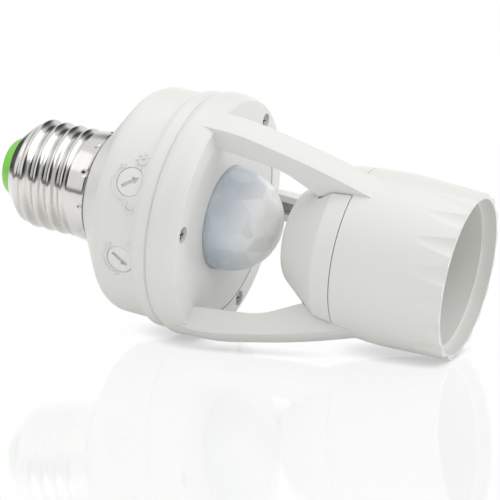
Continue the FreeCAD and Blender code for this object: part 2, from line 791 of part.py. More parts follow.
# sensing parts on the mouth side of the board
def make_sensors():
    board_z = seam_z
    can_base = board_z - cell("seat_height")
    can_low = can_base - cell("can_height")
    rim = cell("can_flange")
    lead_circle = cell("can_r") / 2
    sensor = new_body("pir_sensor")
    revolve(sensor, "can_turning", [
        (0, can_low),
        (cell("can_r"), can_low, rim),
        (cell("can_r"), can_base - rim),
        (can_flange_r, can_base - rim),
        (can_flange_r, can_base),
        (0, can_base),
    ])
    sketch = new_sketch(sensor, "XY_Plane", "lead_circle", can_base)
    draw_circle(sketch, 0, -lead_circle, cell("lead_r"))
    lead = extrude(sensor, "lead", sketch, board_z - can_base)
    repeat(sensor, "leads", [lead], ARMS)
    window = new_sketch(sensor, "XY_Plane", "window_outline", can_low)
    half_x = cell("can_r") * 0.5
    half_y = cell("can_r") * 0.37
    draw_outline(window, [(-half_x, -half_y), (half_x, -half_y), (half_x, half_y), (-half_x, half_y)])
    extrude(sensor, "window", window, rim / 2, "Pocket", reverse=True)
    finish(sensor)
    seat = new_body("sensor_seat")
    revolve(seat, "seat_turning", [
        (lead_circle + cell("lead_r") * 2, can_base),
        (cell("seat_r"), can_base, cell("lead_r")),
        (cell("seat_r"), board_z),
        (lead_circle + cell("lead_r") * 2, board_z),
    ])
    finish(seat)
    cell_body = new_body("light_cell")
    radius = cell("cell_r")
    low_z = board_z - cell("cell_height") - cell("cell_stand")
    top_z = low_z + cell("cell_height")
    revolve(cell_body, "cell_turning", [
        (0, low_z),
        (radius, low_z, radius * 0.8),
        (radius, top_z),
        (0, top_z),
    ])
    sketch = new_sketch(cell_body, "XY_Plane", "cell_lead_circles", top_z)
    draw_circle(sketch, radius * 0.6, 0, cell("lead_r"))
    draw_circle(sketch, -radius * 0.6, 0, cell("lead_r"))
    extrude(cell_body, "cell_leads", sketch, board_z - top_z)
    put(cell_body, 0, cell("cell_offset"), 0)
    finish(cell_body)


def make_board():
    body = new_body("main_board")
    sketch = new_sketch(body, "XY_Plane", "board_circle", seam_z)
    draw_circle(sketch, 0, 0, board_r)
    extrude(body, "board", sketch, cell("board_thickness"))
    sketch = new_sketch(body, "XY_Plane", "column_notch_circle", seam_z)
    draw_circle(sketch, 0, -screw_circle_r, cell("screw_column_r") + cell("seat_gap") * 2)
    notch = extrude(body, "column_notch", sketch, cell("board_thickness"), "Pocket", reverse=True)
    repeat(body, "column_notches", [notch], ARMS)
    return finish(body)


# power parts on the plug side of the board: length, width, height and place
BLOCKS = {
    "relay": (19.0, 7.4, 15.2, -3.0, 8.2),
    "dropper_capacitor": (17.4, 6.4, 12.4, 0.0, -7.0),
    "control_chip": (19.0, 6.2, 3.4, 0.0, -14.3),
    "bridge_rectifier": (8.4, 6.2, 3.2, 3.0, 16.4),
}


def make_power_parts():
    for label, (length, width, height, x, y) in BLOCKS.items():
        finish(new_box(label, size_of(length), size_of(width), size_of(height), x, y, board_top_z))
    can = new_body("smoothing_capacitor")
    can_r = cell("smoothing_r")
    can_top = board_top_z + cell("smoothing_height")
    crimp_z = board_top_z + can_r * 0.5
    revolve(can, "smoothing_turning", [
        (0, board_top_z),
        (can_r, board_top_z, can_r * 0.1),
        (can_r, crimp_z),
        (can_r * 0.92, crimp_z + can_r * 0.1),
        (can_r, crimp_z + can_r * 0.2),
        (can_r, can_top, can_r * 0.14),
        (0, can_top),
    ])
    put(can, cell("smoothing_x"), cell("smoothing_y"), 0)
    finish(can)
    fuse = new_body("fuse_resistor")
    fuse_r = cell("fuse_r")
    length = cell("fuse_length")
    revolve(fuse, "fuse_turning", [
        (-length / 2, 0),
        (-length / 2, fuse_r, fuse_r * 0.3),
        (-length / 4, fuse_r),
        (-length / 6, fuse_r * 0.88),
        (length / 6, fuse_r * 0.88),
        (length / 4, fuse_r),
        (length / 2, fuse_r, fuse_r * 0.3),
        (length / 2, 0),
    ], axis="H_Axis")
    fuse.Placement = Placement(Vector(), Rotation(Vector(0, 0, 1), 90))
    put(fuse, cell("fuse_x"), 0, board_top_z + fuse_r)
    finish(fuse)


# knobs and trimmers, drawn with the knob's axis along X and then turned to their place
def make_knobs():
    disc_out = cover_body_r - cell("knob_inset")
    disc_in = disc_out - cell("knob_disc")
    shaft_in = disc_in - cell("knob_shaft_length")
    block_out = disc_in - cell("trimmer_gap")
    block_in = block_out - cell("trimmer_depth")
    half = cell("trimmer_width") / 2
    for name, side in (("lux", 1), ("time", -1)):
        azimuth = -90 + side * cell("knob_angle")
        arrow = -90 + side * cell("arrow_turn")
        trimmer = new_body(f"{name}_trimmer")
        sketch = new_sketch(trimmer, "XY_Plane", f"{name}_block_outline", board_top_z)
        draw_outline(sketch, [(block_in, -half), (block_out, -half), (block_out, half), (block_in, half)])
        extrude(trimmer, f"{name}_block", sketch, cell("knob_height") + cell("trimmer_top") - board_top_z)
        sketch = new_sketch(trimmer, "YZ_Plane", f"{name}_bore_circle", block_out)
        draw_circle(sketch, 0, cell("knob_height"), cell("knob_shaft_r") + cell("knob_bore_gap"))
        extrude(trimmer, f"{name}_bore", sketch, cell("trimmer_depth"), "Pocket")
        trimmer.Placement = Placement(Vector(), Rotation(Vector(0, 0, 1), azimuth.value))
        bind(trimmer, "Placement.Rotation.Angle", azimuth)
        finish(trimmer)
        knob = new_body(f"{name}_knob")
        revolve(knob, f"{name}_knob_turning", [
            (shaft_in, 0),
            (shaft_in, cell("knob_shaft_r")),
            (disc_in, cell("knob_shaft_r")),
            (disc_in, cell("knob_r")),
            (disc_out, cell("knob_r"), cell("knob_inset")),
            (disc_out, 0),
        ], axis="H_Axis")
        sketch = new_sketch(knob, "YZ_Plane", f"{name}_arrow_outline", disc_out)
        sketch.AttachmentOffset = Placement(Vector(0, 0, disc_out.value),
                                            Rotation(Vector(0, 0, 1), arrow.value))
        bind(sketch, "AttachmentOffset.Base.z", disc_out)
        bind(sketch, "AttachmentOffset.Rotation.Angle", arrow)
        tip = cell("arrow_length") / 2
        stem = cell("arrow_width") / 2
        barb = cell("arrow_head") / 2
        neck = tip - cell("arrow_head")
        draw_outline(sketch, [(-tip, -stem), (neck, -stem), (neck, -barb), (tip, 0),
                              (neck, barb), (neck, stem), (-tip, stem)])
        extrude(knob, f"{name}_arrow", sketch, cell("arrow_depth"), "Pocket")
        knob.Placement = Placement(Vector(0, 0, SIZES["knob_height"]),
                                   Rotation(Vector(0, 0, 1), azimuth.value))
        bind(knob, "Placement.Rotation.Angle", azimuth)
        bind(knob, "Placement.Base.z", cell("knob_height"))
        finish(knob)


def make_screws():
    head_z = screw_seat_z - cell("screw_head_height")
    end_z = screw_seat_z + cell("screw_length")
    shank = cell("screw_shank_r")
    slot = cell("screw_head_height") * 0.15
    reach = cell("screw_head_r") * 0.6
    for number in range(ARMS):
        body = new_body(f"cover_screw_{number + 1}")
        revolve(body, f"screw_turning_{number + 1}", [
            (0, head_z),
            (cell("screw_head_r"), head_z, cell("screw_head_height") * 0.4),
            (cell("screw_head_r"), screw_seat_z),
            (shank, screw_seat_z),
            (shank, end_z - shank * 1.5),
            (0, end_z),
        ])
        sketch = new_sketch(body, "XY_Plane", f"cross_outline_{number + 1}", head_z)
        draw_outline(sketch, [(reach, -slot), (reach, slot), (slot, slot), (slot, reach),
                              (-slot, reach), (-slot, slot), (-reach, slot), (-reach, -slot),
                              (-slot, -slot), (-slot, -reach), (slot, -reach), (slot, -slot)])
        depth = cell("screw_head_height") * 0.45
        extrude(body, f"cross_recess_{number + 1}", sketch, depth, "Pocket", reverse=True)
        azimuth = size_of(FIRST_SCREW + 360 / ARMS * number)
        put(body, screw_circle_r * cosine(azimuth), screw_circle_r * sine(azimuth), 0)
        finish(body)


# lamp socket
def make_socket():
    wall = cell("contact_wall")
    crest = cell("socket_crest_r")
    root = socket_root_r
    pitch = cell("thread_pitch")
    turns = cell("socket_turns")
    flange_z = core_floor_z - wall
    start_z = flange_z - wall - turns * pitch
    lip_z = start_z - pitch * 0.4
    shell = new_body("socket_shell")
    inside = [(root, lip_z)] + wave(crest, root, start_z, turns)[:-1]
    outside = [(root + wall, core_floor_z)]
    outside += reversed(wave(crest + wall, root + wall, start_z, turns, rounded=False)[:-1])
    outside += [(root + wall, lip_z)]
    top = [(root, flange_z), (cell("socket_flange_r"), flange_z), (cell("socket_flange_r"), core_floor_z)]
    revolve(shell, "socket_shell_turning", inside + top + outside)
    drill(shell, "shell_rivet", -cell("shell_rivet_x"), cell("shell_rivet_r"), flange_z, wall)
    finish(shell)

    core = new_body("socket_core")
    ledge_z = seam_low_z - cell("seat_depth")
    flange_top = ledge_z + cell("core_flange_height")
    revolve(core, "core_turning", [
        (core_bore_r, ledge_z),
        (seat_spigot_r, ledge_z),
        (seat_spigot_r, flange_top),
        (core_tube_r, flange_top),
        (core_tube_r, core_back_z, cell("core_wall") * 0.7),
        (0, core_back_z),
        (0, core_floor_z),
        (core_bore_r, core_floor_z),
    ])
    drill(core, "core_tongue", cell("tongue_rivet_x"), cell("rivet_r"), core_floor_z, cell("core_floor"))
    drill(core, "core_shell", -cell("shell_rivet_x"), cell("shell_rivet_r"), core_floor_z,
          cell("core_floor"))
    finish(core)

    tongue = new_body("centre_tongue")
    thick = cell("tongue_thickness")
    foot_x = cell("tongue_rivet_x") + cell("rivet_head_r") + thick
    bend_x = cell("tongue_rivet_x") - cell("rivet_head_r") - thick
    low_z = core_floor_z - cell("tongue_drop")
    sketch = new_sketch(tongue, "XZ_Plane", "tongue_outline")
    draw_outline(sketch, [
        (foot_x, core_floor_z),
        (bend_x, core_floor_z, thick * 2),
        (thick, low_z + thick, thick * 2),
        (-foot_x * 0.3, low_z + thick * 2.4),
        (-foot_x * 0.3, low_z + thick * 1.4),
        (thick * 1.2, low_z, thick * 3),
        (bend_x - thick * 0.2, core_floor_z - thick, thick * 2),
        (foot_x, core_floor_z - thick),
    ])
    extrude(tongue, "tongue_strip", sketch, cell("tongue_width"), both_ways=True)
    drill(tongue, "tongue_rivet", cell("tongue_rivet_x"), cell("rivet_r"), core_floor_z - thick, thick)
    finish(tongue)

    head = cell("rivet_head")
    for label, x, shank, head_r, low in (
            ("tongue_rivet", cell("tongue_rivet_x"), cell("rivet_r"), cell("rivet_head_r"),
             core_floor_z - thick),
            ("shell_rivet", -cell("shell_rivet_x"), cell("shell_rivet_r"), cell("shell_rivet_head_r"),
             flange_z)):
        rivet = new_body(label)
        revolve(rivet, f"{label}_turning", [
            (0, low - head),
            (head_r, low - head, head * 0.4),
            (head_r, low),
            (shank, low),
            (shank, core_back_z),
            (head_r, core_back_z),
            (head_r, core_back_z + head, head * 0.4),
            (0, core_back_z + head),
        ])
        put(rivet, x, 0, 0)
        finish(rivet)


def drill(body, label, x, radius, low_z, depth):
    """Hole for a rivet, upwards from low_z."""
    sketch = new_sketch(body, "XY_Plane", f"{label}_circle", low_z)
    draw_circle(sketch, x, 0, radius)
    return extrude(body, f"{label}_hole", sketch, depth, "Pocket", reverse=True)


def make_socket_cap():
    wall = cell("cap_wall")
    inside_r = seat_spigot_r - cell("cap_spigot_wall")
    top_z = seam_low_z + cell("cap_height")
    band_z = seam_low_z + cell("cap_band_height")
    slope = (cap_band_r - cap_top_r) / (cell("cap_height") - cell("cap_band_height"))
    shift = wall * 1.25
    inner_top_r = cap_top_r - shift + slope * wall
    inner_band_z = band_z + (cap_band_r - shift - inside_r) / slope
    body = new_body("socket_cap")
    revolve(body, "cap_turning", [
        (inside_r, seam_low_z - cell("cap_spigot")),
        (seat_spigot_r, seam_low_z - cell("cap_spigot")),
        (seat_spigot_r, cap_base_z),
        (sleeve_top_r - cell("seat_gap") / 2, cap_base_z),
        (cap_band_r, band_z, wall),
        (cap_top_r, top_z, cell("cap_top_round")),
        (0, top_z),
        (0, top_z - wall),
        (inner_top_r, top_z - wall, cell("cap_top_round") - wall),
        (inside_r, inner_band_z),
    ])
    # slots for the gussets of the arms
    sketch = new_sketch(body, "YZ_Plane", "slot_outline")
    slot_in = gusset_foot_r - wall * 0.9
    slot_out = sleeve_top_r + wall
    slot_top = seam_low_z + cell("gusset_foot_height") + cell("cap_slot_gap")
    draw_outline(sketch, [(slot_in, cap_base_z), (slot_out, cap_base_z), (slot_out, slot_top),
                          (slot_in, slot_top)])
    width = cell("arm_width") + cell("cap_slot_gap") * 2
    slot = extrude(body, "gusset_slot", sketch, width, "Pocket", both_ways=True)
    repeat(body, "gusset_slots", [slot], ARMS)
    return finish(body)


# wires: points along the route, in millimetres
LAMP_ROUTE = [(21.2, 67.1), (21.2, 65.3), (25.9, 63.9), (25.4, 53.0), (22.7, 41.0), (19.6, 32.8),
              (14.5, 32.5), (10.5, 33.3)]
LIVE_FEED = [(0.0, 0.0, 112.5), (0.8, 0.3, 103.0), (3.4, 1.0, 92.0), (3.0, 0.5, 84.0), (3.0, 0.5, 68.7)]
NEUTRAL_FEED = [(-11.0, 0.0, 99.4), (-9.2, 0.4, 95.4), (-7.4, 1.0, 87.0), (-5.0, 0.3, 78.0),
                (-5.0, 0.3, 68.7)]


def tube(label, points, radius):
    """Round wire along straight runs joined by tangent arcs."""
    spots = [Vector(*point) for point in points]
    edges = []
    last = spots[0]
    for before, corner, after in zip(spots, spots[1:], spots[2:]):
        along_in = (corner - before).normalize()
        along_out = (after - corner).normalize()
        reach = 0.45 * min((corner - before).Length, (after - corner).Length)
        start = corner - along_in * reach
        end = corner + along_out * reach
        half_turn = along_in.getAngle(along_out) / 2
        bend = reach / math.tan(half_turn)
        inward = (along_out - along_in).normalize()
        middle = corner + inward * (bend / math.cos(half_turn) - bend)
        edges.append(Part.LineSegment(last, start).toShape())
        edges.append(Part.Arc(start, middle, end).toShape())
        last = end
    edges.append(Part.LineSegment(last, spots[-1]).toShape())
    path = Part.Wire(edges)
    section = Part.Wire([Part.Circle(spots[0], spots[1] - spots[0], radius.value).toShape()])
    item = doc.addObject("Part::Feature", label)
    item.Label = label
    item.Shape = path.makePipeShell([section], True, False)
    return finish(item)


def make_wires():
    for label, azimuth, end in (
            ("lamp_wire_live", -30, (SIZES["tongue_rivet_x"], 0.0, 33.2)),
            ("lamp_wire_neutral", -150, (-SIZES["shell_rivet_x"], 0.0, 33.2))):
        angle = math.radians(azimuth)
        route = [(r * math.cos(angle), r * math.sin(angle), z) for r, z in LAMP_ROUTE]
        tube(label, route + [end], cell("lamp_wire_r"))
    tube("feed_wire_live", LIVE_FEED, cell("feed_wire_r"))
    tube("feed_wire_neutral", NEUTRAL_FEED, cell("feed_wire_r"))


def write_parts():
    doc.recompute()
    faults = [item.Label for item in doc.Objects if "Invalid" in item.State or "Error" in item.State]
    faults += [item.Label for item in finished if item.Shape.isNull() or not item.Shape.isValid()]
    if faults:
        raise RuntimeError(f"failed: {faults}")
    os.makedirs("parts", exist_ok=True)
    for item in finished:
        item.Shape.exportStep(f"parts/{item.Label}.step")
        print(item.Label, len(item.Shape.Solids), round(item.Shape.Volume, 1))


make_screw_shell()
make_tip()
make_rear_cover()
make_front_frame()
make_face_plate()
make_sensors()
make_board()
make_power_parts()
make_knobs()
make_screws()
make_socket()
make_socket_cap()
make_wires()
write_parts()
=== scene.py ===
import json
import math

import bmesh
import bpy
from mathutils import Matrix, Vector


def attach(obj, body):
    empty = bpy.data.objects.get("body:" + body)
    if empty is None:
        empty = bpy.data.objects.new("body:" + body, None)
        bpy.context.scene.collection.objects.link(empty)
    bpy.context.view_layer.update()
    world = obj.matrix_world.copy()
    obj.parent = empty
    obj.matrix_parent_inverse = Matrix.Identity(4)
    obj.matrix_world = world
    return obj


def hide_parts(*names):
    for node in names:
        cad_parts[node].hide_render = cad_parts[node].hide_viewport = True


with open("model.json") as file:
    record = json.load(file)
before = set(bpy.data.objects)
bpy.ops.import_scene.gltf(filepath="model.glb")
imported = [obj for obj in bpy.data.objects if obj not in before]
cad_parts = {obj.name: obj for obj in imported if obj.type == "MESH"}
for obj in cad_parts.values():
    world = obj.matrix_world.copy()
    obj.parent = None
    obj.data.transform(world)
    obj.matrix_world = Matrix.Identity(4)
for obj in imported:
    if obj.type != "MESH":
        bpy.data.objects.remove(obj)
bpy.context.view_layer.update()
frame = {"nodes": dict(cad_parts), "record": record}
nodes = frame["nodes"]

MM = 0.001

# plug shell, in millimetres, degrees and turns
PITCH = 3.63
SKIRT_LOW = 91.6
SKIRT_TOP = 97.2
SKIRT_R = 13.85
SKIRT_TAPER = 0.55
SKIRT_CURVE = 1.3
SKIRT_RUN = 5.2
SKIRT_ROWS = 12
GROOVE = ((12.95, 91.6), (12.97, 91.83), (13.7, 91.92))
THREAD_ROOT = 12.68
THREAD_SWELL = 0.62
THREAD_START = 0.55
THREAD_LOW = 96.7
THREAD_HIGH = 111.9
THREAD_FADE = 1.6
THREAD_GAP = 0.25
THREAD_ROW = 0.22
THREAD_FLATNESS = 0.05
NOSE_LOW = 110.9
NOSE = ((12.66, 111.05), (12.5, 111.45), (12.22, 111.85), (11.86, 112.25), (11.56, 112.6), (11.08, 113.1),
        (10.6, 113.6), (10.13, 114.1), (9.67, 114.6), (9.35, 114.88), (9.02, 115.06), (8.7, 115.12),
        (8.42, 115.12), (8.38, 114.95))
SHELL_STEPS = 288
SHEET_WALL = 0.3 * MM
PUNCH_COUNT = 11
PUNCH_FIRST = -67
PUNCH_STEP = 32.727
PUNCH_HEIGHT = 92.75
PUNCH_R = 0.62
PUNCH_DEPTH = 0.55
PUNCH_SHARPNESS = 1.6

# dome: its half spheres, the steps (out, up) of its foot in millimetres, and where its colour turns a
# darker bluish grey, painted shade of the dark inside
DOME_R = 12.2 * MM
DOME_INNER_R = 11.5 * MM
DOME_CENTRE = 59.05 * MM
DOME_FOOT = ((0.0, 0.7), (0.22, 0.5), (0.04, 2.0), (1.94, 0.0), (0.0, 0.8), (-2.9, 0.0))
DOME_INNER_SKIRT = 4.0 * MM
DOME_FOOT_SHADE_LOW = 46.5 * MM
DOME_FOOT_SHADE_HIGH = 58.0 * MM

# knobs and the raised marks round them
KNOB_HEIGHT = 74.3
KNOB_R = 3.35 * MM
KNOB_DISC = 1.7 * MM
KNOB_FACE = 27.25 * MM
KNOB_RIM = 0.28 * MM
KNOB_SHAFT_R = 1.7 * MM
KNOB_SHAFT = 4.6 * MM
ARROW_DEPTH = 0.75 * MM
ARROW_OUTLINE = ((-2.3, -0.42), (0.7, -0.42), (0.7, -0.92), (2.3, 0), (0.7, 0.92), (0.7, 0.42),
                 (-2.3, 0.42))
LUX_ANGLE = -70.5
TIME_ANGLE = -109.5
COVER_R = 27.4
MARK_LIFT = 0.13
TURN_ARC_R = 4.3
TURN_ARC_START = 32
TURN_ARC_END = 172
BARB_LENGTH = 1.0
BARB_SPREAD = 0.55

# camera at the photo's viewing angle
CAMERA_RIGHT = Vector((0.14514, 0.405573, -0.902466))
CAMERA_UP = Vector((0.960431, 0.161391, 0.226992))
CAMERA_BACK = Vector((0.237712, -0.899702, -0.3661))
CAMERA_SPOT = Vector((105.4442, -422.874, -118.5931)) * MM
CAMERA_LENS = 144.0
CAMERA_SENSOR = 36.0

# the table that the part lies on: its three directions and its distance from the rim's centre
TABLE_UP = Vector((0.987888, -0.008812, 0.154918)).normalized()
TABLE_RIGHT = CAMERA_RIGHT.normalized()
TABLE_INTO = TABLE_UP.cross(TABLE_RIGHT)
TABLE_DROP = -18.968 * MM
TABLE_SIZE = 6.0
# where mirror rays see it end, towards the camera and at the left, and how bright it is past that
TABLE_FRONT = (-0.19, -0.14)
TABLE_LEFT = (-0.62, -0.42)
TABLE_PAST = 0.22
TABLE_NEAR = 0.95
# contact shade, reflection and the light that comes up through it
CONTACT_REACH = 5.5 * MM
CONTACT_SHADE = 0.55
TABLE_SHARE_LIT = 0.03
TABLE_SHARE_MIRRORED = 0.14
TABLE_SHARE_PASSED = 0.35

# studio: level of the soft light, then azimuth, elevation, outer and inner angle, and how dark
SOFT_LEVEL = 0.76
DARK_CORNERS = ((12, 43, 24, 8, 0.9), (45, 45, 26, 8, 0.9), (-168, 10, 42, 22, 0.95),
                (160, 6, 30, 14, 0.8), (-32, 2, 21, 8, 0.92))
LAMP_DISTANCE = 0.8
PART_MIDDLE = Vector((0, 0, 0.06))


def studio_way(azimuth, elevation):
    """Direction over the table: azimuth 0 looks away from the camera, 90 to its right."""
    turn, rise = math.radians(azimuth), math.radians(elevation)
    level = TABLE_RIGHT * math.sin(turn) + TABLE_INTO * math.cos(turn)
    return level * math.cos(rise) + TABLE_UP * math.sin(rise)


# shader nodes
def add_node(tree, kind, values=None, **settings):
    """New node, with its settings made first and its socket values after them."""
    node = tree.nodes.new(kind)
    for key, value in settings.items():
        setattr(node, key, value)
    for socket, value in (values or {}).items():
        node.inputs[socket].default_value = value
    return node


def combined(tree, operation, first, second):
    node = add_node(tree, "ShaderNodeMath", operation=operation)
    tree.links.new(first, node.inputs[0])
    tree.links.new(second, node.inputs[1])
    return node.outputs[0]


def scaled(tree, colour, factor):
    node = add_node(tree, "ShaderNodeVectorMath", operation="SCALE")
    tree.links.new(colour, node.inputs[0])
    tree.links.new(factor, node.inputs["Scale"])
    return node.outputs[0]


def ranged(tree, value, start, end, low=0.0, high=1.0, way="LINEAR"):
    """The value between low and high, brought to between start and end."""
    values = {"From Min": low, "From Max": high, "To Min": start, "To Max": end}
    node = add_node(tree, "ShaderNodeMapRange", values, interpolation_type=way)
    tree.links.new(value, node.inputs["Value"])
    return node.outputs["Result"]


def sloped(tree, value, low, high, start, end):
    return ranged(tree, value, start, end, low, high, "SMOOTHSTEP")


def mixed(tree, factor, first, second):
    """Mix of two shaders by a number or by another node's output."""
    mix = add_node(tree, "ShaderNodeMixShader")
    if isinstance(factor, float):
        mix.inputs[0].default_value = factor
    else:
        tree.links.new(factor, mix.inputs[0])
    tree.links.new(first, mix.inputs[1])
    tree.links.new(second, mix.inputs[2])
    return mix.outputs[0]


def noise(tree, vector, detail, scale):
    """Noise at a fixed scale, or at a scale linked from another node's output."""
    node = add_node(tree, "ShaderNodeTexNoise", {"Detail": detail})
    if isinstance(scale, float):
        node.inputs["Scale"].default_value = scale
    else:
        tree.links.new(scale, node.inputs["Scale"])
    tree.links.new(vector, node.inputs["Vector"])
    return node.outputs["Fac"]


def bumped(tree, height, strength, distance, normal=None):
    node = add_node(tree, "ShaderNodeBump", {"Distance": distance})
    tree.links.new(strength, node.inputs["Strength"])
    tree.links.new(height, node.inputs["Height"])
    if normal:
        tree.links.new(normal, node.inputs["Normal"])
    return node.outputs["Normal"]


def object_place(tree):
    return add_node(tree, "ShaderNodeTexCoord").outputs["Object"]


def new_group(name, values, colour, roughness):
    """Group with the named numbers, a colour and a roughness in, and colour, roughness and normal out."""
    group = bpy.data.node_groups.new(name, "ShaderNodeTree")
    numbers = [(label, "NodeSocketFloat", value) for label, value in values]
    for label, kind, value in numbers + [("Colour", "NodeSocketColor", colour),
                                         ("Roughness", "NodeSocketFloat", roughness)]:
        group.interface.new_socket(label, in_out="INPUT", socket_type=kind).default_value = value
    for label, kind in (("Colour", "NodeSocketColor"), ("Roughness", "NodeSocketFloat"),
                        ("Normal", "NodeSocketVector")):
        group.interface.new_socket(label, in_out="OUTPUT", socket_type=kind)
    return group, group.nodes.new("NodeGroupInput").outputs, group.nodes.new("NodeGroupOutput").inputs


def moulded_grain_group():
    """Fine spark-eroded grain of moulded plastic with faint cloudiness."""
    group, entry, leave = new_group(
        "moulded_grain",
        [("Grain Scale", 2600.0), ("Grain Depth", 0.03), ("Edge", 0.0002), ("Cloud", 0.02)],
        (0.8, 0.8, 0.8, 1), 0.42)
    link = group.links.new
    place = object_place(group)
    centred = add_node(group, "ShaderNodeMath", {1: 0.5}, operation="SUBTRACT")
    link(noise(group, place, 2.0, 90.0), centred.inputs[0])
    swing = add_node(group, "ShaderNodeMath", {2: 1.0}, operation="MULTIPLY_ADD")
    link(centred.outputs[0], swing.inputs[0])
    link(entry["Cloud"], swing.inputs[1])
    edge = add_node(group, "ShaderNodeBevel", samples=6)
    link(entry["Edge"], edge.inputs["Radius"])
    grain = noise(group, place, 3.0, entry["Grain Scale"])
    link(scaled(group, entry["Colour"], swing.outputs[0]), leave["Colour"])
    link(combined(group, "MULTIPLY", entry["Roughness"], swing.outputs[0]), leave["Roughness"])
    link(bumped(group, grain, entry["Grain Depth"], 0.00005, edge.outputs["Normal"]), leave["Normal"])
    return group


def drawn_metal_group():
    """Fine turning marks round the axis, with small wear marks in the roughness."""
    group, entry, leave = new_group(
        "drawn_metal", [("Line Scale", 900.0), ("Line Depth", 0.05)], (0.7, 0.7, 0.7, 1), 0.1)
    link = group.links.new
    place = object_place(group)
    squeeze = add_node(group, "ShaderNodeMapping", {"Scale": (0.03, 0.03, 1.0)})
    link(place, squeeze.inputs["Vector"])
    lines = noise(group, squeeze.outputs["Vector"], 4.0, entry["Line Scale"])
    wear = ranged(group, noise(group, place, 3.0, 260.0), 0.8, 1.35)
    link(scaled(group, entry["Colour"], ranged(group, lines, 0.94, 1.04)), leave["Colour"])
    link(combined(group, "MULTIPLY", entry["Roughness"], wear), leave["Roughness"])
    link(bumped(group, lines, entry["Line Depth"], 0.00003), leave["Normal"])
    return group


GRAIN = moulded_grain_group()
DRAWN = drawn_metal_group()


def new_finish(name, group, colour, values):
    """Material whose colour, roughness and normal come from a node group."""
    finish = bpy.data.materials.new(name)
    finish.use_nodes = True
    surface = finish.node_tree.nodes["Principled BSDF"]
    shared = add_node(finish.node_tree, "ShaderNodeGroup", values, node_tree=group)
    shared.inputs["Colour"].default_value = (*colour, 1)
    for label, socket in (("Colour", "Base Color"), ("Roughness", "Roughness"), ("Normal", "Normal")):
        finish.node_tree.links.new(shared.outputs[label], surface.inputs[socket])
    return finish, surface


def plastic(name, colour, roughness, grain, scale=2600.0, cloud=0.02, edge=0.15):
    values = {"Roughness": roughness, "Grain Depth": grain, "Grain Scale": scale, "Cloud": cloud,
              "Edge": edge * MM}
    return new_finish(name, GRAIN, colour, values)


def metal(name, colour, roughness, lines):
    values = {"Roughness": roughness, "Line Depth": lines, "Line Scale": 900.0}
    finish, surface = new_finish(name, DRAWN, colour, values)
    surface.inputs["Metallic"].default_value = 1.0
    return finish


def milky_lens():
    """Milky polyethylene: scattering body with a satin skin; painted shade turns its colour a darker
    bluish grey towards the foot, and painted light and shade make each facet cell a little lighter or
    darker.
    """
    finish, surface = plastic("milky_lens", (0.60, 0.61, 0.62), 0.30, 0.02, 1500.0, 0.03, 0.0)
    tree = finish.node_tree
    link = tree.links.new
    place = object_place(tree)
    parts = add_node(tree, "ShaderNodeSeparateXYZ")
    link(place, parts.inputs[0])
    # painted shade: the colour goes from light grey at the tip to a darker bluish grey at the foot, where
    # the dark inside shows through
    foot_shade_tint = add_node(tree, "ShaderNodeMix", {"A": (0.87, 0.87, 0.86, 1), "B": (0.58, 0.64, 0.71, 1)},
                    data_type="RGBA")
    clear = sloped(tree, parts.outputs["Z"], DOME_FOOT_SHADE_LOW, DOME_FOOT_SHADE_HIGH, 0.0, 1.0)
    link(clear, foot_shade_tint.inputs["Factor"])
    # painted light and shade: each cell is a little lighter or darker, standing in for the light that the
    # lens facets bend
    facets = add_node(tree, "ShaderNodeTexVoronoi", {"Scale": 250.0, "Randomness": 0.55}, feature="F1")
    link(place, facets.inputs["Vector"])
    split = add_node(tree, "ShaderNodeSeparateColor")
    link(facets.outputs["Color"], split.inputs[0])
    shade = scaled(tree, foot_shade_tint.outputs["Result"], ranged(tree, split.outputs[0], 0.91, 1.08))
    link(shade, surface.inputs["Base Color"])
    surface.subsurface_method = "BURLEY"
    surface.inputs["Transmission Weight"].default_value = 0.04
    surface.inputs["Subsurface Weight"].default_value = 1.0
    surface.inputs["Subsurface Radius"].default_value = (1.0, 1.0, 1.0)
    surface.inputs["Subsurface Scale"].default_value = 7 * MM
    surface.inputs["IOR"].default_value = 1.5
    return finish


finishes = {}
for name, colour, roughness, grain in (
        ("housing_white", (0.775, 0.775, 0.755), 0.40, 0.06),
        ("cover_white", (0.775, 0.775, 0.755), 0.40, 0.06),
        ("knob_white", (0.80, 0.80, 0.80), 0.34, 0.04),
        ("plate_white", (0.765, 0.765, 0.745), 0.42, 0.06),
        ("tip_green", (0.20, 0.64, 0.045), 0.30, 0.02),
        ("core_white", (0.66, 0.65, 0.61), 0.55, 0.10),
        ("board_green", (0.012, 0.075, 0.028), 0.35, 0.04),
        ("seat_black", (0.012, 0.012, 0.012), 0.5, 0.06),
        ("relay_blue", (0.01, 0.035, 0.17), 0.38, 0.05),
        ("film_yellow", (0.50, 0.30, 0.03), 0.22, 0.03),
        ("chip_black", (0.010, 0.010, 0.011), 0.48, 0.09),
        ("sleeve_dark", (0.012, 0.016, 0.035), 0.22, 0.03),
        ("ceramic_blue", (0.16, 0.35, 0.45), 0.35, 0.06),
        ("trimmer_blue", (0.015, 0.085, 0.30), 0.38, 0.05),
        ("wire_red", (0.36, 0.008, 0.008), 0.38, 0.03),
        ("wire_black", (0.010, 0.010, 0.010), 0.38, 0.03)):
    finishes[name] = plastic(name, colour, roughness, grain)[0]
finishes["cell_clear"], resin = plastic("cell_clear", (0.85, 0.72, 0.50), 0.12, 0.01)
resin.inputs["Transmission Weight"].default_value = 0.85
